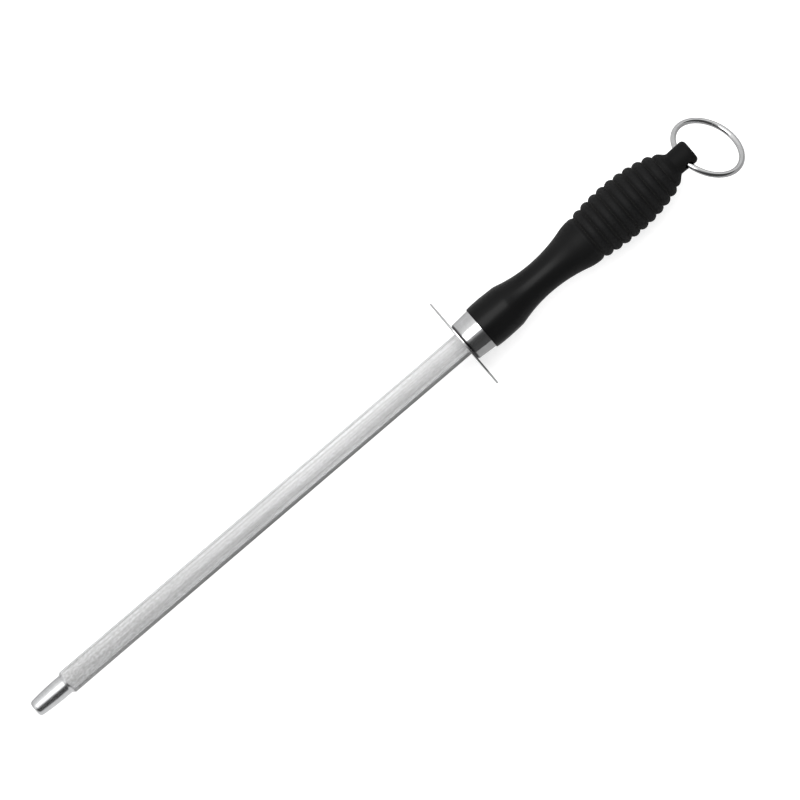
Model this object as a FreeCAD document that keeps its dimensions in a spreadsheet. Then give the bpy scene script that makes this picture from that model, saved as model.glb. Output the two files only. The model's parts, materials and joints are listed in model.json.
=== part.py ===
# Knife sharpening steel: a fluted steel rod driven into a moulded handle, with a thin round guard
# and a drawn ferrule trapped between them, and a loose wire ring through the end of the handle.
#
# The rod's axis is the X axis, with the point towards -X and the handle towards +X. The origin is
# where that axis meets the guard's front face. The ring's hole runs along Y, and Z is up. The steel
# lies level: the rim of its guard and the lowest point of its ring are at the same height. Lengths
# are in millimetres.
import FreeCAD, Part
import math
import os

import Sketcher

DIMENSIONS = {
    # fluted rod, behind its turned point
    "rod_radius": 4.35,
    "rod_length": 176.5,
    "flute_count": 66,
    "flute_depth": 0.13,
    "flute_width": 0.27,
    # turned point
    "tip_reach": 189.8,
    "tip_radius": 3.05,
    "tip_root_radius": 3.6,
    "tip_shoulder": 1.2,
    "tip_round": 1.4,
    # tang, inside the handle
    "tang_radius": 3.0,
    "tang_length": 62.0,
    "tang_bevel": 0.8,
    "barb_count": 5,
    "barb_pitch": 6.0,
    "barb_depth": 0.35,
    "barb_run": 1.4,
    "barb_start": 30.0,
    # hand guard
    "guard_radius": 17.6,
    "guard_thickness": 0.6,
    "guard_edge": 0.2,
    # ferrule
    "ferrule_back": 8.05,
    "ferrule_front_radius": 7.28,
    "ferrule_back_radius": 7.72,
    "ferrule_corner": 0.9,
    "ferrule_wall": 0.5,
    # gap around what slips over the tang or into the ferrule
    "slip": 0.03,
    # handle: collar, waist and shoulder
    "collar_radius": 8.16,
    "collar_edge": 0.35,
    "collar_round": 9.0,
    "waist_place": 34.3,
    "waist_radius": 6.04,
    "waist_front_hollow": 50.0,
    "waist_back_hollow": 54.0,
    "shoulder_radius": 8.78,
    "shoulder_round": 17.5,
    # handle: ribbed grip, which swells along one arc and thins along a tighter one
    "rib_start": 55.6,
    "rib_pitch": 3.71,
    "rib_depth": 0.88,
    "rib_round": 2.35,
    "belly_place": 70.5,
    "belly_radius": 10.35,
    "belly_front_sweep": 86.0,
    "belly_back_sweep": 58.0,
    # handle: end slope and stub
    "slope_start": 91.5,
    "slope_radius": 5.9,
    "stub_start": 93.2,
    "stub_root": 0.9,
    "stub_radius": 4.29,
    "stub_end": 100.9,
    "stub_end_radius": 4.42,
    "stub_round": 1.5,
    # cross hole in the stub, and the ring through it
    "hole_place": 97.0,
    "hole_radius": 1.75,
    "hole_edge": 0.25,
    "wire_radius": 1.0,
    "ring_radius": 12.4,
    "ring_offset": 12.0,
    "ring_arc": 359.4,
    "ring_joint": 42.6,
}
RIBS = 10

doc = FreeCAD.newDocument("sharpening_steel")
dims = doc.addObject("Spreadsheet::Sheet", "dims")
for row, (alias, value) in enumerate(DIMENSIONS.items(), start=1):
    dims.set(f"A{row}", alias)
    dims.set(f"B{row}", str(value))
    dims.setAlias(f"B{row}", alias)
doc.recompute()


def value_of(expression):
    """The number that an expression in the sheet's terms gives now."""
    result = dims.evalExpression(expression)
    return float(getattr(result, "Value", result))


def bind(target, bindings):
    """Binds properties of an object to expressions in the sheet's terms."""
    for path, expression in bindings.items():
        target.setExpression(path, expression)


def new_body(label):
    body = doc.addObject("PartDesign::Body", label)
    body.Label = label
    return body


def origin_feature(body, role):
    """One of the body's own origin planes or axes."""
    return next(f for f in body.Origin.OriginFeatures if f.Role == role)


def new_sketch(body, name, role):
    sketch = body.newObject("Sketcher::SketchObject", name)
    sketch.AttachmentSupport = [(origin_feature(body, role), "")]
    sketch.MapMode = "FlatFace"
    return sketch


def fix_distance(sketch, kind, geometry, end, expression):
    """Holds one end of a sketch line or arc at a signed distance from the sketch's origin."""
    value = value_of(expression)
    if abs(value) < 1e-9:
        axis = -2 if kind == "DistanceX" else -1
        sketch.addConstraint(Sketcher.Constraint("PointOnObject", geometry, end, axis))
        return
    ends = (-1, 1, geometry, end)
    if value < 0:
        ends = (geometry, end, -1, 1)
        expression = f"-({expression})"
    index = sketch.addConstraint(Sketcher.Constraint(kind, *ends, abs(value)))
    sketch.setExpression(f"Constraints[{index}]", expression)


def fix_radius(sketch, geometry, expression):
    constraint = Sketcher.Constraint("Radius", geometry, value_of(expression))
    sketch.setExpression(f"Constraints[{sketch.addConstraint(constraint)}]", expression)


def arc_between(start, end, radius, bulge):
    """The arc from start to end that bulges to the left (+1) or the right (-1) of the way there.

    Sketch arcs always run anticlockwise, so the second value says which end of the arc is start."""
    chord = end - start
    left = FreeCAD.Vector(-chord.y, chord.x, 0).normalize()
    centre = (start + end) * 0.5 - left * (bulge * math.sqrt(radius**2 - (chord.Length / 2) ** 2))
    first, last = (end, start) if bulge > 0 else (start, end)
    angles = [math.atan2(point.y - centre.y, point.x - centre.x) for point in (first, last)]
    circle = Part.Circle(centre, FreeCAD.Vector(0, 0, 1), radius)
    return Part.ArcOfCircle(circle, *angles), 2 if bulge > 0 else 1


def draw_outline(sketch, corners):
    """Draws a closed outline. A corner is (place, height) or (place, height, radius, bulge), in the
    sheet's terms: the radius and the bulge bend the side that leaves the corner."""
    points = [FreeCAD.Vector(value_of(corner[0]), value_of(corner[1]), 0) for corner in corners]
    sides = []
    for corner, start, end in zip(corners, points, points[1:] + points[:1]):
        if len(corner) == 2:
            side, start_end = Part.LineSegment(start, end), 1
        else:
            side, start_end = arc_between(start, end, value_of(corner[2]), corner[3])
        sides.append((sketch.addGeometry(side), start_end))
    for index, corner in enumerate(corners):
        geometry, start_end = sides[index]
        before, before_start = sides[index - 1]
        meeting = Sketcher.Constraint("Coincident", before, 3 - before_start, geometry, start_end)
        sketch.addConstraint(meeting)
        fix_distance(sketch, "DistanceX", geometry, start_end, corner[0])
        fix_distance(sketch, "DistanceY", geometry, start_end, corner[1])
        if len(corner) == 4:
            fix_radius(sketch, geometry, corner[2])


def draw_circle(sketch, place, radius):
    """Draws a circle centred on the sketch's first axis, at a place and radius from the sheet."""
    centre = FreeCAD.Vector(value_of(place), 0, 0)
    circle = Part.Circle(centre, FreeCAD.Vector(0, 0, 1), value_of(radius))
    geometry = sketch.addGeometry(circle)
    fix_distance(sketch, "DistanceX", geometry, 3, place)
    fix_distance(sketch, "DistanceY", geometry, 3, "0")
    fix_radius(sketch, geometry, radius)


def turn(body, name, corners):
    """Revolves an outline about the X axis, as on a lathe. The heights of its corners are radii."""
    sketch = new_sketch(body, f"{name}_outline", "XZ_Plane")
    draw_outline(sketch, corners)
    feature = body.newObject("PartDesign::Revolution", name)
    feature.Profile = sketch
    feature.ReferenceAxis = (sketch, ["H_Axis"])
    doc.recompute()


def cut(body, name, kind, sketch, bindings, **settings):
    """Adds a feature that removes material, and stops if it removed none."""
    before = body.Shape.Volume
    feature = body.newObject(kind, name)
    feature.Profile = sketch
    for key, value in settings.items():
        setattr(feature, key, value)
    bind(feature, bindings)
    doc.recompute()
    if body.Shape.Volume >= before - 1e-6:
        raise RuntimeError(f"{name} cuts nothing")
    return feature


def repeat(body, name, kind, original, bindings, **settings):
    """Repeats a feature in a pattern, which then becomes the body's tip."""
    before = body.Shape.Volume
    pattern = body.newObject(kind, name)
    pattern.Originals = [original]
    for key, value in settings.items():
        setattr(pattern, key, value)
    body.Tip = pattern
    bind(pattern, bindings)
    doc.recompute()
    if body.Shape.Volume >= before - 1e-6:
        raise RuntimeError(f"{name} repeats nothing")


def circle_edges(shape, place, radius):
    """The names of the circular edges about the X axis with this place and radius."""
    return [
        f"Edge{index}"
        for index, edge in enumerate(shape.Edges, start=1)
        if isinstance(edge.Curve, Part.Circle)
        and edge.Curve.Center.distanceToPoint(FreeCAD.Vector(place, 0, 0)) < 1e-4
        and abs(edge.Curve.Radius - radius) < 1e-4
    ]


def hole_edges(shape, radius):
    """The names of the edges where a round hole of this radius comes out of the shape."""
    walls = [f for f in shape.Faces if isinstance(f.Surface, Part.Cylinder)]
    bored = [wall for wall in walls if abs(wall.Surface.Radius - radius) < 1e-4]
    rims = [edge for wall in bored for edge in wall.Edges if not isinstance(edge.Curve, Part.Line)]
    return [
        f"Edge{index}"
        for index, edge in enumerate(shape.Edges, start=1)
        if any(edge.isSame(rim) for rim in rims)
    ]


def fillet(body, name, edges, size):
    dress(body, name, "PartDesign::Fillet", edges, {"Radius": size})


def chamfer(body, name, edges, size):
    dress(body, name, "PartDesign::Chamfer", edges, {"Size": size})


def dress(body, name, kind, edges, bindings):
    """Rounds or bevels edges of the body's latest feature."""
    if not edges:
        raise RuntimeError(f"{name} finds no edge")
    base = body.Tip
    feature = body.newObject(kind, name)
    feature.Base = (base, edges)
    bind(feature, bindings)
    doc.recompute()


def make_sharpening_rod():
    """One bar of steel: turned point, fluted length, and a barbed tang for the handle."""
    body = new_body("sharpening_rod")
    shoulder = "-dims.rod_length + dims.tip_shoulder"
    turn(
        body,
        "bar",
        [
            ("-dims.tip_reach", "0"),
            ("-dims.tip_reach", "dims.tip_radius"),
            ("-dims.rod_length", "dims.tip_root_radius"),
            (shoulder, "dims.rod_radius"),
            ("0", "dims.rod_radius"),
            ("0", "dims.tang_radius"),
            ("dims.tang_length", "dims.tang_radius"),
            ("dims.tang_length", "0"),
        ],
    )
    tip_edge = circle_edges(body.Shape, -dims.tip_reach, dims.tip_radius)
    fillet(body, "tip_rounding", tip_edge, "dims.tip_round")
    tang_edge = circle_edges(body.Shape, dims.tang_length, dims.tang_radius)
    chamfer(body, "tang_lead_in", tang_edge, "dims.tang_bevel")

    notch = new_sketch(body, "barb_notch", "XZ_Plane")
    draw_outline(
        notch,
        [
            ("dims.barb_start", "dims.tang_radius"),
            ("dims.barb_start + dims.barb_depth", "dims.tang_radius - dims.barb_depth"),
            ("dims.barb_start + dims.barb_run", "dims.tang_radius"),
        ],
    )
    barb = cut(body, "barb", "PartDesign::Groove", notch, {}, ReferenceAxis=(notch, ["H_Axis"]))
    along = (origin_feature(body, "X_Axis"), [""])
    spread = {
        "Length": "dims.barb_pitch * (dims.barb_count - 1)",
        "Occurrences": "dims.barb_count",
    }
    repeat(body, "barbs", "PartDesign::LinearPattern", barb, spread, Direction=along)

    section = new_sketch(body, "flute_section", "YZ_Plane")
    above_surface = "dims.rod_radius + dims.flute_depth / 10"
    draw_outline(
        section,
        [
            ("-dims.flute_width / 2", above_surface),
            ("dims.flute_width / 2", above_surface),
            ("0", "dims.rod_radius - dims.flute_depth"),
        ],
    )
    length = {"Length": "dims.rod_length"}
    flute = cut(body, "flute", "PartDesign::Pocket", section, length, Type="Length")
    count = {"Occurrences": "dims.flute_count"}
    repeat(body, "flutes", "PartDesign::PolarPattern", flute, count, Axis=along)
    return body


def make_hand_guard():
    """A thin stamped disc that slips over the tang, against the rod's shoulder."""
    body = new_body("hand_guard")
    sketch = new_sketch(body, "disc_outline", "YZ_Plane")
    draw_circle(sketch, "0", "dims.guard_radius")
    draw_circle(sketch, "0", "dims.tang_radius + dims.slip")
    disc = body.newObject("PartDesign::Pad", "disc")
    disc.Profile = sketch
    bind(disc, {"Length": "dims.guard_thickness"})
    doc.recompute()
    rims = circle_edges(body.Shape, 0.0, dims.guard_radius)
    rims += circle_edges(body.Shape, dims.guard_thickness, dims.guard_radius)
    fillet(body, "rolled_rim", rims, "dims.guard_edge")
    return body


def make_ferrule():
    """A drawn cup over the handle's plug. It widens a little towards the handle."""
    body = new_body("ferrule")
    front = "dims.guard_thickness"
    front_inside = f"{front} + dims.ferrule_wall"
    corner_end = f"{front} + dims.ferrule_corner"
    corner_start_radius = "dims.ferrule_front_radius - dims.ferrule_corner"
    tang_hole = "dims.tang_radius + dims.slip"
    turn(
        body,
        "cup",
        [
            (front, tang_hole),
            (front, corner_start_radius, "dims.ferrule_corner", 1),
            (corner_end, "dims.ferrule_front_radius"),
            ("dims.ferrule_back", "dims.ferrule_back_radius"),
            ("dims.ferrule_back", "dims.ferrule_back_radius - dims.ferrule_wall"),
            (
                corner_end,
                "dims.ferrule_front_radius - dims.ferrule_wall",
                "dims.ferrule_corner - dims.ferrule_wall",
                -1,
            ),
            (front_inside, corner_start_radius),
            (front_inside, tang_hole),
        ],
    )
    return body


def reverse_curve(low_place, low, high, hollow, crown, way):
    """Where a hollow arc that starts level at its lowest point meets a rounded arc, tangent to it,
    and where the rounded arc is level again. The way along the axis is +1 or -1."""
    radii = f"({hollow} + {crown})"
    rise = f"({high} - {low})"
    run = f"{way} * sqrt(2 * {rise} * {radii} - {rise}^2)"
    meeting = (f"{low_place} + {run} * {hollow} / {radii}", f"{low} + {rise} * {hollow} / {radii}")
    top = (f"{low_place} + {run}", high)
    return meeting, top


def rib_valley(index):
    """The bottom of the notch before a rib, at its depth under the swell of the grip."""
    place = f"dims.rib_start + {index} * dims.rib_pitch"
    thickens = value_of(place) < dims.belly_place
    sweep = "dims.belly_front_sweep" if thickens else "dims.belly_back_sweep"
    drop = f"({sweep} - sqrt({sweep}^2 - ({place} - dims.belly_place)^2))"
    return place, f"dims.belly_radius - {drop} - dims.rib_depth"


def make_handle():
    """One moulding: plug, collar, waist, shoulder, ribbed grip, and a stub with a cross hole."""
    body = new_body("handle")
    plug_front = "dims.guard_thickness + dims.ferrule_wall + dims.slip"
    waist = ("dims.waist_place", "dims.waist_radius")
    neck, collar_end = reverse_curve(
        *waist, "dims.collar_radius", "dims.waist_front_hollow", "dims.collar_round", -1
    )
    swell, shoulder = reverse_curve(
        *waist, "dims.shoulder_radius", "dims.waist_back_hollow", "dims.shoulder_round", 1
    )
    valleys = [rib_valley(index) for index in range(RIBS)]
    run = f"({valleys[0][0]} - ({shoulder[0]}))"
    fall = f"({shoulder[1]} - ({valleys[0][1]}))"
    turn(
        body,
        "moulding",
        [
            (plug_front, "0"),
            (plug_front, "dims.ferrule_front_radius - dims.ferrule_corner"),
            (
                "dims.guard_thickness + dims.ferrule_corner",
                "dims.ferrule_front_radius - dims.ferrule_wall - dims.slip",
            ),
            ("dims.ferrule_back", "dims.ferrule_back_radius - dims.ferrule_wall - dims.slip"),
            ("dims.ferrule_back", "dims.collar_radius"),
            (*collar_end, "dims.collar_round", 1),
            (*neck, "dims.waist_front_hollow", -1),
            (*waist, "dims.waist_back_hollow", -1),
            (*swell, "dims.shoulder_round", 1),
            (*shoulder, f"({run}^2 + {fall}^2) / (2 * {fall})", 1),
            *[(*valley, "dims.rib_round", 1) for valley in valleys],
            ("dims.slope_start", "dims.slope_radius"),
            ("dims.stub_start", "dims.stub_radius"),
            ("dims.stub_end", "dims.stub_end_radius"),
            ("dims.stub_end", "0"),
        ],
    )
    collar_edge = circle_edges(body.Shape, dims.ferrule_back, dims.collar_radius)
    fillet(body, "collar_rounding", collar_edge, "dims.collar_edge")
    root_edge = circle_edges(body.Shape, dims.stub_start, dims.stub_radius)
    fillet(body, "stub_root", root_edge, "dims.stub_root")
    end_edge = circle_edges(body.Shape, dims.stub_end, dims.stub_end_radius)
    fillet(body, "stub_rounding", end_edge, "dims.stub_round")

    mouth = new_sketch(body, "tang_bore_mouth", "YZ_Plane")
    bind(mouth, {"AttachmentOffset.Base.z": "dims.guard_thickness"})
    draw_circle(mouth, "0", "dims.tang_radius + dims.slip")
    depth = {"Length": "dims.tang_length - dims.guard_thickness + dims.slip"}
    cut(body, "tang_bore", "PartDesign::Pocket", mouth, depth, Type="Length", Reversed=True)

    section = new_sketch(body, "ring_hole_section", "XZ_Plane")
    draw_circle(section, "dims.hole_place", "dims.hole_radius")
    cut(body, "ring_hole", "PartDesign::Pocket", section, {}, Type="ThroughAll", Midplane=True)
    fillet(body, "ring_hole_mouths", hole_edges(body.Shape, dims.hole_radius), "dims.hole_edge")
    return body


def placement(place, axis, angle):
    """The expression for a place along X and a turn about an axis."""
    spot = f"create(<<vector>>; {place}; 0; 0)"
    rotation = f"create(<<rotation>>; create(<<vector>>; {axis}); {angle})"
    return f"create(<<placement>>; {spot}; {rotation})"


def make_hanging_ring():
    """Wire bent into a ring, with its ends butted. It is drawn about its own centre, then put
    through the stub's hole and swung down until it is as low as the guard's rim."""
    body = new_body("hanging_ring")
    sketch = new_sketch(body, "wire_section", "XZ_Plane")
    draw_circle(sketch, "dims.ring_radius", "dims.wire_radius")
    wire = body.newObject("PartDesign::Revolution", "bent_wire")
    wire.Profile = sketch
    wire.ReferenceAxis = (sketch, ["V_Axis"])
    bind(wire, {"Angle": "dims.ring_arc"})
    drop = "dims.guard_radius - dims.wire_radius"
    swing = f"asin(({drop}) / (dims.ring_offset + dims.ring_radius))"
    swung_down = placement("dims.hole_place", "0; 1; 0", swing)
    joint_turned = placement("dims.ring_offset", "0; 0; 1", "dims.ring_joint")
    bind(body, {"Placement": f"{swung_down} * {joint_turned}"})
    return body


bodies = [
    make_sharpening_rod(),
    make_hand_guard(),
    make_ferrule(),
    make_handle(),
    make_hanging_ring(),
]
doc.recompute()

for item in doc.Objects:
    if "Invalid" in item.State or "Error" in item.State:
        raise RuntimeError(f"{item.Label} failed: {item.State}")
for body in bodies:
    if body.Shape.isNull() or not body.Shape.isValid() or len(body.Shape.Solids) != 1:
        raise RuntimeError(f"{body.Label} is not one valid solid")

os.makedirs("parts", exist_ok=True)
for body in bodies:
    body.Shape.exportStep(f"parts/{body.Label}.step")
    print(f"{body.Label}: {body.Shape.Volume:.1f} mm3")
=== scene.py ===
import json
import math

import bpy
import numpy as np
from mathutils import Matrix, Vector


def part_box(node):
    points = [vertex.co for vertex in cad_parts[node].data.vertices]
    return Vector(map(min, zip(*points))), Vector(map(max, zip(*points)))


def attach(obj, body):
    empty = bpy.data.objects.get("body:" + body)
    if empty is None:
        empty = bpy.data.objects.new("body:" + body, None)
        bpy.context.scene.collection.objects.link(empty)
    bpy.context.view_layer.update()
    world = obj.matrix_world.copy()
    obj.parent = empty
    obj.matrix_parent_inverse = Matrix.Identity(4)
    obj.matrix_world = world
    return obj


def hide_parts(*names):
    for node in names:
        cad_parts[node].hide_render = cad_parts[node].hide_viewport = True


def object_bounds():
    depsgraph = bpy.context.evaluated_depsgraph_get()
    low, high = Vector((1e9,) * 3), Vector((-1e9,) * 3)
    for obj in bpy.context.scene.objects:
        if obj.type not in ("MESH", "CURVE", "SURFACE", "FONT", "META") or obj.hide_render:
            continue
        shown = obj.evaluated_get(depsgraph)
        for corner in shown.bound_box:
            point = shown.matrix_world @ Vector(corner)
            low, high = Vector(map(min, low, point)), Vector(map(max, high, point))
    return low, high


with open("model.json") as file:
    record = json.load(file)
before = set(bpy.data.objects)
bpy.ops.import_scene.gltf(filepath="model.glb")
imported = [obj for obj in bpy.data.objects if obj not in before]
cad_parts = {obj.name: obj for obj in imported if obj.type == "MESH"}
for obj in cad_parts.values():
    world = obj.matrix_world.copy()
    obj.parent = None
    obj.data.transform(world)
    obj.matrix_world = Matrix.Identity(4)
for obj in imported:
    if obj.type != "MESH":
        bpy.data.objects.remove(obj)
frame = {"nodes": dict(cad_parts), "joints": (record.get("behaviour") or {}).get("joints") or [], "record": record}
cad_low, cad_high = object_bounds()
MM = 0.001
rod_low, rod_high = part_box("sharpening_rod")
guard_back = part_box("hand_guard")[1].x
handle_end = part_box("handle")[1].x
rod_mount = next(m for m in frame["record"]["mounts"] if m["name"] == "rod")
ring_joint = frame["joints"][0]
random = np.random.default_rng(29)


# ---------------------------------------------------------------- outlines read from the CAD

# Vertices this near to each other are in the same place.
SAME_PLACE = 5e-6
# A margin for telling the parts of an outline from each other.
MARGIN = 0.1 * MM
FEWEST_CORNERS = 24
CORNER_ANGLE = math.radians(22)


def circles(cad_node):
    """Each full circle of vertices about the X axis on a CAD node, as (x, radius), along X."""
    corners = np.array([vertex.co for vertex in frame["nodes"][cad_node].data.vertices])
    radii = np.hypot(corners[:, 1], corners[:, 2])
    keys = np.round(np.stack([corners[:, 0], radii], axis=1) / SAME_PLACE).astype(int)
    found, counts = np.unique(keys, axis=0, return_counts=True)
    return found[counts >= FEWEST_CORNERS] * SAME_PLACE


def in_order(points, start_radius):
    """Points along X. Those at the same place follow each other from the last radius onwards."""
    ordered, radius = [], start_radius
    for x in np.unique(points[:, 0]):
        level = points[points[:, 0] == x][:, 1]
        level = level[np.argsort(abs(level - radius))]
        ordered += [(x, r) for r in level]
        radius = level[-1]
    return np.array(ordered)


def smooth_line(points, spacing):
    """A line through the points, divided finely. It is smooth except at turns over
    CORNER_ANGLE."""
    steps = np.diff(points, axis=0)
    lengths = np.hypot(*steps.T)
    ways = steps / lengths[:, None]
    turns = np.arccos(np.clip((ways[1:] * ways[:-1]).sum(1), -1, 1))
    bends = [0, *(np.nonzero(turns > CORNER_ANGLE)[0] + 1), len(points) - 1]
    line = [points[0]]
    for first, last in zip(bends[:-1], bends[1:]):
        way, length = ways[first:last], lengths[first:last]
        tangents = np.empty((len(way) + 1, 2))
        if len(way) == 1:
            tangents[:] = way[0]
        else:
            weights = length[:, None]
            middle = way[:-1] * weights[1:] + way[1:] * weights[:-1]
            tangents[1:-1] = middle / (weights[1:] + weights[:-1])
            tangents[0] = 2 * way[0] - tangents[1]
            tangents[-1] = 2 * way[-1] - tangents[-2]
        for index, size in enumerate(length):
            start, end = points[first + index], points[first + index + 1]
            t = np.linspace(0, 1, max(1, math.ceil(size / spacing)) + 1)[1:, None]
            line += list(
                (2 * t**3 - 3 * t**2 + 1) * start
                + (t**3 - 2 * t**2 + t) * size * tangents[index]
                + (3 * t**2 - 2 * t**3) * end
                + (t**3 - t**2) * size * tangents[index + 1]
            )
    return np.array(line)


def softened(line, reach):
    """The line with its corners rounded over about reach, its ends held. Its points are a quarter
    of reach apart."""
    lengths = np.concatenate([[0], np.cumsum(np.hypot(*np.diff(line, axis=0).T))])
    even = np.arange(0, lengths[-1], reach / 4)
    line = np.stack([np.interp(even, lengths, line[:, axis]) for axis in (0, 1)], axis=1)
    half = 12
    window = np.exp(-0.5 * (np.arange(-half, half + 1) / 4) ** 2)
    window /= window.sum()
    before = 2 * line[0] - line[half:0:-1]
    after = 2 * line[-1] - line[-2 : -half - 2 : -1]
    padded = np.concatenate([before, line, after])
    return np.stack([np.convolve(padded[:, axis], window, "valid") for axis in (0, 1)], axis=1)


def thinned(line, tolerance, longest):
    """The line without the points that it can do without."""
    kept = {0, len(line) - 1}
    stretches = [(0, len(line) - 1)]
    while stretches:
        first, last = stretches.pop()
        if last - first < 2:
            continue
        chord = line[last] - line[first]
        length = np.hypot(*chord)
        away = line[first + 1 : last] - line[first]
        offsets = abs(away[:, 0] * chord[1] - away[:, 1] * chord[0]) / max(length, 1e-9)
        if offsets.max() > tolerance or length > longest:
            middle = first + 1 + int(offsets.argmax())
            if offsets.max() <= tolerance:
                middle = (first + last) // 2
            kept.add(middle)
            stretches += [(first, middle), (middle, last)]
    return line[sorted(kept)]


# ---------------------------------------------------------------- meshes

def turned_mesh(name, rings, attributes):
    """A closed mesh of rings about the X axis. Each ring is (xs, radii, angles), and neighbours
    have as many corners, or one has a whole number of times as many as the other."""
    corners, loops = [], []
    for xs, radii, angles in rings:
        xs = np.broadcast_to(xs, angles.shape)
        radii = np.broadcast_to(radii, angles.shape)
        start = len(corners)
        corners += list(np.stack([xs, radii * np.cos(angles), radii * np.sin(angles)], axis=1))
        loops.append(list(range(start, len(corners))))
    faces = []
    for before, after in zip(loops[:-1], loops[1:]):
        count = min(len(before), len(after))
        more_before, more_after = len(before) // count, len(after) // count
        for index in range(count):
            way = [before[(index * more_before + k) % len(before)] for k in range(more_before + 1)]
            back = [after[(index * more_after + k) % len(after)] for k in range(more_after + 1)]
            faces.append([*way, *back[::-1]])
    for loop, reverse in ((loops[0], True), (loops[-1], False)):
        corners.append(np.mean([corners[index] for index in loop], axis=0))
        middle = len(corners) - 1
        for here, there in zip(loop, loop[1:] + loop[:1]):
            faces.append([there, here, middle] if reverse else [here, there, middle])
    mesh = bpy.data.meshes.new(name)
    mesh.from_pydata([tuple(corner) for corner in corners], [], faces)
    at_middles = [0.0, 0.0]
    for label, values in attributes.items():
        values = np.concatenate([values, at_middles])
        mesh.attributes.new(label, "FLOAT", "POINT").data.foreach_set("value", values)
    mesh.validate()
    return mesh


def add_object(name, data):
    made = bpy.data.objects.new(name, data)
    bpy.context.scene.collection.objects.link(made)
    return made


def add_piece(name, mesh, materials, sharp):
    """A piece that is shaded smooth, except at edges of more than sharp degrees."""
    for material in materials:
        mesh.materials.append(material)
    mesh.shade_smooth()
    mesh.set_sharp_from_angle(angle=math.radians(sharp))
    return add_object(name, mesh)


# ---------------------------------------------------------------- material nodes

def node(tree, kind, inputs=None, **settings):
    """Adds a node. An input is a value, or the output of another node."""
    made = tree.nodes.new(kind)
    for key, value in settings.items():
        setattr(made, key, value)
    for key, value in (inputs or {}).items():
        if isinstance(value, bpy.types.NodeSocket):
            tree.links.new(value, made.inputs[key])
        else:
            made.inputs[key].default_value = value
    return made


def new_material(name, **sockets):
    material = bpy.data.materials.new(name)
    material.use_nodes = True
    shader = material.node_tree.nodes["Principled BSDF"]
    for key, value in sockets.items():
        shader.inputs[key.replace("_", " ")].default_value = value
    return material, material.node_tree, shader


def calculate(tree, operation, *values):
    return node(tree, "ShaderNodeMath", dict(enumerate(values)), operation=operation).outputs[0]


def square(tree, value):
    return calculate(tree, "MULTIPLY", value, value)


def millimetres(tree, stretch=(1, 1, 1)):
    """Where a point is on the object, in millimetres, with each axis scaled by stretch."""
    place = node(tree, "ShaderNodeTexCoord").outputs["Object"]
    scale = tuple(share / MM for share in stretch)
    return node(tree, "ShaderNodeVectorMath", {0: place, 1: scale}, operation="MULTIPLY").outputs[0]


def axes(tree):
    """Where a point is on the object along X, Y and Z, in millimetres."""
    return node(tree, "ShaderNodeSeparateXYZ", {0: millimetres(tree)}).outputs


def round_axis(tree, along, around, outwards):
    """Where a point is as (x, angle, radius) about the X axis, in millimetres and radians, each
    scaled by its own factor."""
    x, y, z = axes(tree)
    angle = calculate(tree, "ARCTAN2", z, y)
    radius = calculate(tree, "SQRT", calculate(tree, "ADD", square(tree, y), square(tree, z)))
    values = {
        0: calculate(tree, "MULTIPLY", x, along),
        1: calculate(tree, "MULTIPLY", angle, around),
        2: calculate(tree, "MULTIPLY", radius, outwards),
    }
    return node(tree, "ShaderNodeCombineXYZ", values).outputs[0]


def noise(tree, vector, scale, detail=3.0, roughness=0.55):
    inputs = {"Vector": vector, "Scale": scale, "Detail": detail, "Roughness": roughness}
    return node(tree, "ShaderNodeTexNoise", inputs).outputs["Fac"]


def spread(tree, value, low, high, out_low=0.0, out_high=1.0):
    """Maps low..high to out_low..out_high, and holds it there outside."""
    inputs = {0: value, 1: low, 2: high, 3: out_low, 4: out_high}
    return node(tree, "ShaderNodeMapRange", inputs).outputs[0]


def blend(tree, share, first, second):
    """Between two colours: the first at 0, the second at 1."""
    inputs = {0: share, 6: first, 7: second}
    return node(tree, "ShaderNodeMix", inputs, data_type="RGBA").outputs[2]


def grey(value, blue=0.0):
    """A grey, a little towards blue or, below 0, towards yellow."""
    return (value * (1 - blue / 2), value, value * (1 + blue), 1.0)


def bump(tree, shader, layers):
    """Layers of relief, each (height, depth in millimetres)."""
    normal = None
    for height, depth in layers:
        inputs = {"Height": height, "Distance": depth * MM, "Strength": 1.0}
        if normal:
            inputs["Normal"] = normal
        normal = node(tree, "ShaderNodeBump", inputs).outputs[0]
    tree.links.new(normal, shader.inputs["Normal"])


def attribute(tree, name):
    return node(tree, "ShaderNodeAttribute", attribute_name=name).outputs["Fac"]


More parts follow.
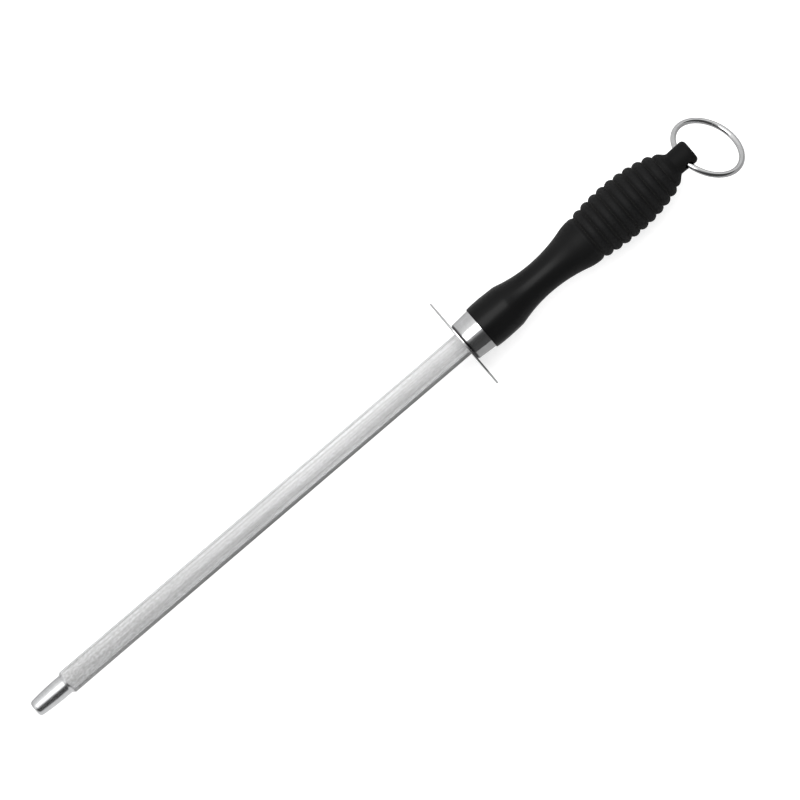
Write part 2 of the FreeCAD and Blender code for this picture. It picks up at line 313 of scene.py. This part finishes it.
def fluted_steel():
    """Hard-plated satin steel. Streaks run along the flutes, which have painted shade at the bottom, and
    each flute has a tone of its own. Fine pitting gets denser towards the point, and this also
    paints the rod darker there as painted shade."""
    material, tree, shader = new_material("fluted_steel", Metallic=1.0)
    streaks = noise(tree, millimetres(tree, (0.01, 1, 1)), 1.7, 6.0, 0.7)
    grain = noise(tree, millimetres(tree, (0.5, 1, 1)), 7.0, 4.0, 0.6)
    specks = noise(tree, millimetres(tree, (0.45, 1, 1)), 2.1, 2.0, 0.5)
    cloud = noise(tree, millimetres(tree, (0.4, 1, 1)), 0.1, 2.0, 0.5)
    light = blend(tree, spread(tree, cloud, 0.3, 0.7), grey(0.77, 0.01), grey(0.83, 0.015))
    streaked = blend(tree, spread(tree, streaks, 0.36, 0.6, 0.6, 0.0), light, grey(0.40, 0.02))
    worn = blend(tree, spread(tree, grain, 0.35, 0.7, 0.0, 0.35), streaked, grey(0.72, 0.01))
    toned = blend(tree, spread(tree, attribute(tree, "tone"), 0, 1, 0.0, 0.45), worn, grey(0.40))
    # Pitting specks, denser towards the point, which also stand for painted shade: the rod is darker towards its
    # point.
    pitting_and_tip_shade = calculate(
        tree,
        "MULTIPLY",
        spread(tree, specks, 0.35, 0.65, 0.0, 0.5),
        spread(tree, axes(tree)[0], -176, -110, 1.9, 1.0),
    )
    grained = blend(tree, pitting_and_tip_shade, toned, grey(0.40))
    # Painted shade: each flute is darker towards its bottom, by its depth.
    groove_shade = spread(tree, attribute(tree, "groove_shade"), 0.4, 1.0, 0.0, 0.35)
    colour = blend(tree, groove_shade, grained, grey(0.34, -0.02))
    tree.links.new(colour, shader.inputs["Base Color"])
    rough = calculate(
        tree,
        "ADD",
        spread(tree, streaks, 0.3, 0.7, 0.49, 0.40),
        spread(tree, grain, 0.3, 0.7, -0.04, 0.04),
    )
    tree.links.new(rough, shader.inputs["Roughness"])
    bump(tree, shader, [(streaks, 0.006), (grain, 0.006)])
    return material


def turned_steel():
    """The turned point: fine rings, with a few deeper ones, and the odd scratch along it."""
    material, tree, shader = new_material("turned_steel", Metallic=1.0)
    rings = noise(tree, round_axis(tree, 9.0, 0.35, 2.0), 1.0, 4.0, 0.65)
    scratches = noise(tree, millimetres(tree, (0.25, 3, 3)), 2.5, 3.0, 0.6)
    cloud = noise(tree, millimetres(tree), 0.45, 3.0, 0.5)
    light = blend(tree, spread(tree, cloud, 0.3, 0.7), grey(0.56, 0.01), grey(0.63, 0.015))
    colour = blend(tree, spread(tree, rings, 0.35, 0.6, 0.35, 0.0), light, grey(0.42, 0.01))
    tree.links.new(colour, shader.inputs["Base Color"])
    rough = calculate(
        tree,
        "ADD",
        spread(tree, rings, 0.3, 0.7, 0.26, 0.19),
        spread(tree, scratches, 0.5, 0.7, 0.0, 0.07),
    )
    tree.links.new(rough, shader.inputs["Roughness"])
    bump(tree, shader, [(rings, 0.004), (scratches, 0.002)])
    return material


PLATE = 0.56


def bright_plate(name, lines, polish=0.11, joint=None):
    """Bright plate with hair lines along one direction, faint haze and a slightly wavy surface. It
    has painted shade up to the first place of the joint and is bright from the second, in
    millimetres along X."""
    material, tree, shader = new_material(name, Metallic=1.0)
    hairs = noise(tree, lines(tree), 1.0, 5.0, 0.7)
    haze = noise(tree, millimetres(tree), 0.35, 4.0, 0.6)
    waves = noise(tree, millimetres(tree), 0.22, 1.0, 0.4)
    light = blend(tree, spread(tree, haze, 0.35, 0.7), grey(PLATE, 0.012), grey(PLATE * 0.9))
    colour = blend(tree, spread(tree, hairs, 0.3, 0.48, 0.3, 0.0), light, grey(PLATE * 0.72))
    if joint:
        # Painted shade and painted dark reflection of the neighbouring part, up to the joint.
        colour = blend(tree, spread(tree, axes(tree)[0], *joint, 0.9, 0.0), colour, grey(0.1))
    tree.links.new(colour, shader.inputs["Base Color"])
    rough = calculate(
        tree,
        "ADD",
        spread(tree, haze, 0.35, 0.75, polish, polish + 0.08),
        spread(tree, hairs, 0.55, 0.72, 0.0, 0.06),
    )
    tree.links.new(rough, shader.inputs["Roughness"])
    bump(tree, shader, [(waves, 0.05), (hairs, 0.0012)])
    return material


def black_moulding():
    """Near-black moulded plastic: fine orange peel, and duller towards the ribs, which hands have
    rubbed along their crests and which hold a little dust in between."""
    material, tree, shader = new_material("black_moulding", IOR=1.49, Specular_IOR_Level=0.1)
    peel = noise(tree, millimetres(tree), 2.2, 4.0, 0.55)
    flow = noise(tree, millimetres(tree, (0.3, 1, 1)), 0.16, 3.0, 0.5)
    specks = noise(tree, millimetres(tree), 5.5, 2.0, 0.5)
    plain = blend(tree, spread(tree, flow, 0.3, 0.7), grey(0.0040, 0.03), grey(0.0056, 0.02))
    rubbed = blend(
        tree,
        calculate(tree, "MULTIPLY", attribute(tree, "crest"), spread(tree, peel, 0.35, 0.65)),
        plain,
        grey(0.009, 0.02),
    )
    dusty = blend(
        tree,
        calculate(tree, "MULTIPLY", attribute(tree, "valley"), spread(tree, specks, 0.42, 0.62)),
        rubbed,
        grey(0.019, -0.05),
    )
    tree.links.new(dusty, shader.inputs["Base Color"])
    rough = calculate(
        tree,
        "ADD",
        spread(tree, flow, 0.3, 0.7, 0.27, 0.33),
        calculate(
            tree,
            "SUBTRACT",
            spread(tree, axes(tree)[0], 38, 60, 0.0, 0.36),
            calculate(tree, "MULTIPLY", attribute(tree, "crest"), 0.06),
        ),
    )
    tree.links.new(rough, shader.inputs["Roughness"])
    bump(tree, shader, [(flow, 0.06), (peel, 0.012)])
    return material


# ---------------------------------------------------------------- the rod

FLUTES = 66
# Each flute is a round hollow, which leans this much at the ridges on both sides.
LEAN = math.radians(58)
FLUTE_DEPTH = 0.1 * MM
# No flute is shallower or deeper than these shares of FLUTE_DEPTH, or further aside than this
# share of the pitch. The flutes take up their places aside over the first SETTLING.
SHALLOWEST, DEEPEST = 0.55, 1.35
FURTHEST_ASIDE = 0.12
SETTLING = 3 * MM
# The fine rings that turning left on the point, which fade in behind its rounded end.
RIPPLE_DEPTH, RIPPLE_PITCH, RIPPLE_START = 0.006 * MM, 0.55 * MM, 1.2 * MM
# The point and the tang are thinner than these shares of the fluted rod.
POINT_SHARE, TANG_SHARE = 0.84, 0.75
# Where there are no flutes, a ring has one corner for this many.
COARSE = 4


def flute_section():
    """One flute across, from ridge to ridge: (share of the pitch, share of the depth)."""
    share = np.linspace(-1, 1, 9)
    slope = np.tan(LEAN * (0.5 * share + 0.5 * share**3))
    height = np.concatenate([[0], np.cumsum((slope[1:] + slope[:-1]) / 2)])
    return np.stack([share / 2, height / height.min()], axis=1)[1:]


def wander(lengths, reach):
    """A smooth random value for each flute along the lengths, which changes over about reach."""
    knots = np.arange(lengths.min() - reach, lengths.max() + 2 * reach, reach)
    values = random.normal(size=(FLUTES, len(knots)))
    return np.array([np.interp(lengths, knots, row) for row in values])


def make_rod():
    outline = in_order(circles("sharpening_rod"), 0.0)
    shoulder = -rod_mount["dims"]["length_mm"] * MM
    land = rod_mount["dims"]["r_mm"] * MM
    before_shoulder = outline[:, 0] < shoulder - MARGIN
    point = outline[before_shoulder & (outline[:, 1] < POINT_SHARE * land)]
    root_x, root_radius = point[-1]
    tang = outline[(outline[:, 0] > -MARGIN) & (outline[:, 1] < TANG_SHARE * land)]

    pitch = 2 * math.pi / FLUTES
    section = flute_section()
    shares, depths = np.tile(section, (FLUTES, 1)).T
    centres = np.repeat(np.arange(FLUTES), len(section))
    fine_angles = (centres + shares) * pitch
    coarse_angles = fine_angles[::COARSE]
    smooth = np.zeros(len(coarse_angles))

    rings, groove_shade, tone = [], [], []
    for x, radius in smooth_line(point, 0.125 * MM)[:-1]:
        from_end = min(1.0, max(0.0, (x - rod_low.x - RIPPLE_START) / MM))
        from_root = min(1.0, (root_x - x) / (0.3 * MM))
        ripple = RIPPLE_DEPTH * math.sin(2 * math.pi * x / RIPPLE_PITCH) * from_end * from_root
        rings.append((x, radius + ripple, coarse_angles))
        groove_shade.append(smooth)
        tone.append(smooth)

    shoulder_end = shoulder + 1.2 * MM
    stations = np.concatenate(
        [
            np.linspace(root_x, shoulder, 9)[:-1],
            np.linspace(shoulder, shoulder_end, 4)[:-1],
            np.linspace(shoulder_end, 0, 128),
        ]
    )
    deeper = 1 + 0.1 * random.normal(size=(FLUTES, 1)) + 0.01 * wander(stations, 30 * MM)
    aside = 0.05 * random.normal(size=(FLUTES, 1)) + 0.005 * wander(stations, 60 * MM)
    darker = 0.5 + 0.25 * random.normal(size=(FLUTES, 1)) + 0.15 * wander(stations, 25 * MM)
    settled = np.clip((stations - root_x) / SETTLING, 0, 1)
    for index, x in enumerate(stations):
        depth = np.clip(deeper[centres, index], SHALLOWEST, DEEPEST) * depths
        shift = np.clip(aside[centres, index], -FURTHEST_ASIDE, FURTHEST_ASIDE) * settled[index]
        cone = root_radius + (land - root_radius) * min(1.0, (x - root_x) / (shoulder - root_x))
        rings.append((x, np.minimum(land - FLUTE_DEPTH * depth, cone), fine_angles + shift * pitch))
        # How deep each flute is here, as a share, which sets the painted shade at its bottom.
        groove_shade.append(np.clip(depth, 0, 1))
        tone.append(np.clip(darker[centres, index], 0, 1))

    for x, radius in smooth_line(tang, 4 * MM):
        rings.append((x, radius, coarse_angles))
        groove_shade.append(smooth)
        tone.append(smooth)
    attributes = {"groove_shade": np.concatenate(groove_shade), "tone": np.concatenate(tone)}
    mesh = turned_mesh("fluted_rod", rings, attributes)
    piece = add_piece("fluted_rod", mesh, [fluted_steel(), turned_steel()], sharp=60)
    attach(piece, "steel")
    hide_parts("sharpening_rod")
    for face in mesh.polygons:
        fluted = root_x < face.center.x < 0 and face.normal.x > -0.3
        face.material_index = 0 if fluted else 1


# ---------------------------------------------------------------- the handle

# The moulding's parting line: its height, how many degrees it reaches to each side, and where it
# starts, which is behind the ferrule.
PARTING, PARTING_REACH = 0.045 * MM, 1.0
PARTING_START = guard_back + 9 * MM
RIBS_START, RIBS_END = 54 * MM, 91 * MM
# How high a crest stands over the mean and how far a valley lies under it.
CREST_HEIGHT, VALLEY_DEPTH = 0.2 * MM, 0.3 * MM
HOLE_RADIUS, MOUTH_RADIUS = 1.75 * MM, 0.25 * MM
HOLE_CORNERS = 64


def make_handle():
    found = circles("handle")
    at_tang = found[:, 0] < rod_high.x + MARGIN
    bore_radius = found[at_tang][:, 1].min()
    inside = at_tang & (found[:, 1] < bore_radius + MARGIN)
    bore_end = found[inside][:, 0].max()
    outline = in_order(found[~inside], found[~inside][0, 1])
    fine = softened(smooth_line(outline, 0.1 * MM), 0.1 * MM)
    outer = thinned(fine, 0.0015 * MM, 1.0 * MM)

    even = np.arange(0, 360, 2.5)
    beside = [side + offset for side in (0, 180) for offset in (-1.3, -0.65, 0.65, 1.3)]
    angles = np.radians(np.sort(np.concatenate([even, np.mod(beside, 360)])))
    seam = np.clip(1 - abs(np.sin(angles)) / math.sin(math.radians(PARTING_REACH)), 0, 1)
    shown = np.clip((outer[:, 0] - PARTING_START) / MM, 0, 1)

    bore = [(bore_end, bore_radius, angles), (outer[0, 0], bore_radius, angles)]
    skin = [
        (x, radius + PARTING * seam * share, angles)
        for (x, radius), share in zip(outer, shown)
    ]
    crest, valley = crests_and_valleys(fine, outer)
    count = len(angles)
    attributes = {
        label: np.concatenate([np.zeros(len(bore) * count), np.repeat(values, count)])
        for label, values in (("crest", crest), ("valley", valley))
    }
    whole = turned_mesh("whole_handle", bore + skin, attributes)
    mesh = with_ring_hole(whole, outer)
    piece = add_piece("moulded_handle", mesh, [black_moulding()], sharp=38)
    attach(piece, "steel")
    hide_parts("handle")


def crests_and_valleys(fine, outer):
    """How far each point of the outer line is on a rib's crest, and how far it is in a valley
    between two, from its height over the mean of the fine line round it."""
    # The mean is taken over nearly one rib's pitch, this many points to each side.
    half = 72
    count = 2 * half + 1
    mean = np.convolve(np.pad(fine[:, 1], half, "edge"), np.ones(count) / count, "valid")
    away = fine[:, 1] - mean
    place = [int(np.hypot(*(fine - point).T).argmin()) for point in outer]
    ribbed = (outer[:, 0] > RIBS_START) & (outer[:, 0] < RIBS_END)
    crest = np.clip(away[place] / CREST_HEIGHT, 0, 1) * ribbed
    valley = np.clip(-away[place] / VALLEY_DEPTH - 0.3, 0, 1) * ribbed
    return crest, valley


def with_ring_hole(whole, outline):
    """The handle's mesh with the ring's hole cut through its stub along Y. The cutter follows the
    stub's surface, so that both mouths are rounded all the way round."""
    hole_x = ring_joint["pos_m"][0]
    # Half a step keeps the cutter's corners off the parting line, which passes through the hole.
    turns = (np.arange(HOLE_CORNERS) + 0.5) * (2 * math.pi / HOLE_CORNERS)
    # The cutter from the hole outwards: (its radius, its height over the stub's surface).
    levels = [
        (HOLE_RADIUS + MOUTH_RADIUS * (1 - math.cos(t)), -MOUTH_RADIUS * (1 - math.sin(t)))
        for t in np.linspace(0, math.pi / 2, 7)
    ]
    levels += [
        (HOLE_RADIUS + 1.3 * MOUTH_RADIUS, 0.02 * MM),
        (HOLE_RADIUS + 3 * MOUTH_RADIUS, 2 * MM),
    ]
    loops = [(-1, level) for level in levels[::-1]] + [(1, level) for level in levels]
    corners = []
    for side, (radius, above) in loops:
        x = hole_x + radius * np.cos(turns)
        z = radius * np.sin(turns)
        stub = np.interp(x, outline[:, 0], outline[:, 1])
        y = side * (np.sqrt(stub**2 - z**2) + above)
        corners += list(np.stack([x, y, z], axis=1))
    last = (len(loops) - 1) * HOLE_CORNERS
    faces = []
    for start in range(0, last, HOLE_CORNERS):
        for here in range(HOLE_CORNERS):
            there = (here + 1) % HOLE_CORNERS
            after = start + HOLE_CORNERS
            faces.append([start + here, start + there, after + there, after + here])
    faces.append(list(range(HOLE_CORNERS))[::-1])
    faces.append(list(range(last, last + HOLE_CORNERS)))
    mesh = bpy.data.meshes.new("hole_cutter")
    mesh.from_pydata([tuple(corner) for corner in corners], [], faces)
    mesh.flip_normals()
    cutter = add_object("hole_cutter", mesh)
    uncut = add_object("whole_handle", whole)
    cut = uncut.modifiers.new("ring_hole", "BOOLEAN")
    cut.operation, cut.solver, cut.object = "DIFFERENCE", "EXACT", cutter
    now = bpy.context.evaluated_depsgraph_get()
    done = bpy.data.meshes.new_from_object(uncut.evaluated_get(now))
    done.name = "moulded_handle"
    done.materials.clear()
    bpy.data.objects.remove(cutter)
    bpy.data.objects.remove(uncut)
    return done


# ---------------------------------------------------------------- bright parts kept from the CAD

def finish_node(name, material):
    kept = frame["nodes"][name]
    kept.data.materials.clear()
    kept.data.materials.append(material)


make_rod()
make_handle()
finish_node(
    "hand_guard",
    bright_plate("guard_plate", lambda tree: round_axis(tree, 0.5, 1.5, 6.0)),
)
finish_node(
    "ferrule",
    bright_plate(
        "ferrule_plate",
        lambda tree: round_axis(tree, 7.0, 1.2, 2.0),
        # Painted shade and the guard's painted reflection on the ferrule's front edge, beside the guard.
        joint=(guard_back / MM + 0.6, guard_back / MM + 1.0),
    ),
)
finish_node(
    "hanging_ring",
    bright_plate("ring_wire", lambda tree: millimetres(tree, (1.2, 1.2, 1.2)), polish=0.06),
)


# ---------------------------------------------------------------- floor, light and camera

FLOOR_REACH = 6
SOFTBOX_RADIANCE = 4.2
SOFTBOX_HEIGHT = 0.55
# The room that the metal mirrors: (degrees from overhead, which are above 0 towards +Y, and how
# bright it is there).
ROOM = [
    (-180, 0.4),
    (-112, 0.1),
    (-82, 0.09),
    (-60, 0.07),
    (-40, 0.1),
    (-33, 0.4),
    (10, 1.5),
    (55, 0.92),
    (75, 0.88),
    (95, 0.95),
    (180, 0.9),
]
CAMERA_TILT, CAMERA_ROLL = math.radians(23), math.radians(40.52)
LENS, SENSOR = 600.0, 36.0
# The picture's middle and its width, as shares of the steel's length without its ring.
MIDDLE_ALONG, MIDDLE_BELOW, PICTURE_WIDTH = 0.555, 0.0017, 0.9274


def flat_sheet(name, corners, material):
    """A level sheet under the steel, which isn't part of it."""
    mesh = bpy.data.meshes.new(name)
    mesh.from_pydata([(x, y, cad_low.z) for x, y in corners], [], [tuple(range(len(corners)))])
    mesh.materials.append(material)
    sheet = add_object(name, mesh)
    return sheet


def make_floor():
    """A pale light table, and the sheet of paper on it that the bright metal mirrors, whose colour
    is painted light and shadow.
    """
    table, tree, shader = new_material("light_table", Roughness=0.9, Specular_IOR_Level=0.0)
    cloud = noise(tree, millimetres(tree), 0.02, 2.0)
    colour = blend(tree, cloud, grey(0.74), grey(0.76))
    tree.links.new(colour, shader.inputs["Base Color"])
    shader.inputs["Emission Color"].default_value = grey(1.0)
    shader.inputs["Emission Strength"].default_value = 0.5
    corners = [(-1, -1), (1, -1), (1, 1), (-1, 1)]
    floor = flat_sheet("floor", [(x * FLOOR_REACH, y * FLOOR_REACH) for x, y in corners], table)
    floor.visible_glossy = False

    paper, tree, shader = new_material("paper", Roughness=0.9, Specular_IOR_Level=0.0)
    along, across, _ = axes(tree)
    # Painted light and shadow on the paper: in front it darkens towards the guard, where the guard and handle
    # shade it, and behind it lightens towards the guard, under the softbox.
    by_guard = spread(tree, along, -170, -120)
    front = blend(tree, by_guard, grey(0.8), grey(0.46))
    behind = blend(tree, by_guard, grey(0.47), grey(0.68))
    shade = blend(tree, spread(tree, across, 0, 90), front, behind)
    tree.links.new(shade, shader.inputs["Base Color"])
    near_edge = [(-1, -0.3), (-0.17, -0.3), (-0.14, -0.068), (1, -0.068)]
    mirrored = flat_sheet("mirrored_paper", [*near_edge, (1, 1.5), (-1, 1.5)], paper)
    mirrored.visible_camera = mirrored.visible_diffuse = mirrored.visible_shadow = False


def softbox(name, low, high, radiance):
    """A level soft light over the steel."""
    light = bpy.data.lights.new(name, "AREA")
    light.shape = "RECTANGLE"
    light.size, light.size_y = high[0] - low[0], high[1] - low[1]
    light.energy = radiance * math.pi * light.size * light.size_y
    lamp = add_object(name, light)
    lamp.location = ((low[0] + high[0]) / 2, (low[1] + high[1]) / 2, SOFTBOX_HEIGHT)
    lamp.visible_camera = False


def make_lights():
    """A softbox overhead, with a second one over the point. The metal mirrors a room that is pale
    behind the steel and dark in front of it, and everything else is lit by an even sky."""
    softbox("softbox", (-0.13, -0.225), (0.212, 0.126), SOFTBOX_RADIANCE)
    softbox("point_softbox", (-0.4, -0.29), (-0.13, 0.17), 0.24 * SOFTBOX_RADIANCE)

    world = bpy.data.worlds.new("studio")
    world.use_nodes = True
    bpy.context.scene.world = world
    tree = world.node_tree
    place = node(tree, "ShaderNodeTexCoord").outputs["Generated"]
    way = node(tree, "ShaderNodeSeparateXYZ", {0: place})
    lean = calculate(tree, "ARCTAN2", way.outputs[1], way.outputs[2])
    ramp = node(tree, "ShaderNodeValToRGB", {0: spread(tree, lean, -math.pi, math.pi)})
    elements = ramp.color_ramp.elements
    while len(elements) < len(ROOM):
        elements.new(0.5)
    for element, (angle, value) in zip(elements, ROOM):
        element.position = angle / 360 + 0.5
        element.color = grey(value)
    mirrored = node(tree, "ShaderNodeLightPath").outputs["Is Glossy Ray"]
    colour = blend(tree, mirrored, grey(0.95), ramp.outputs[0])
    tree.links.new(colour, tree.nodes["Background"].inputs["Color"])


def make_camera():
    """Looks down at the steel from its -Y side, with the picture turned so that it lies aslant."""
    along = Vector((1, 0, 0))
    across = Vector((0, math.cos(CAMERA_TILT), math.sin(CAMERA_TILT)))
    back = Vector((0, -math.sin(CAMERA_TILT), math.cos(CAMERA_TILT)))
    right = along * math.cos(CAMERA_ROLL) - across * math.sin(CAMERA_ROLL)
    up = along * math.sin(CAMERA_ROLL) + across * math.cos(CAMERA_ROLL)
    length = handle_end - rod_low.x
    middle = Vector((rod_low.x + MIDDLE_ALONG * length, 0, 0)) - across * MIDDLE_BELOW * length
    data = bpy.data.cameras.new("camera")
    data.lens, data.sensor_width = LENS, SENSOR
    data.clip_start, data.clip_end = 0.05, 50.0
    camera = add_object("camera", data)
    camera.rotation_mode = "QUATERNION"
    turn = np.array([right, up, back]).T
    camera.rotation_quaternion = Matrix(turn.tolist()).to_quaternion()
    camera.location = middle + back * (PICTURE_WIDTH * length * LENS / SENSOR)
    bpy.context.scene.camera = camera


make_floor()
make_lights()
make_camera()
bpy.context.scene.view_settings.view_transform = "Standard"
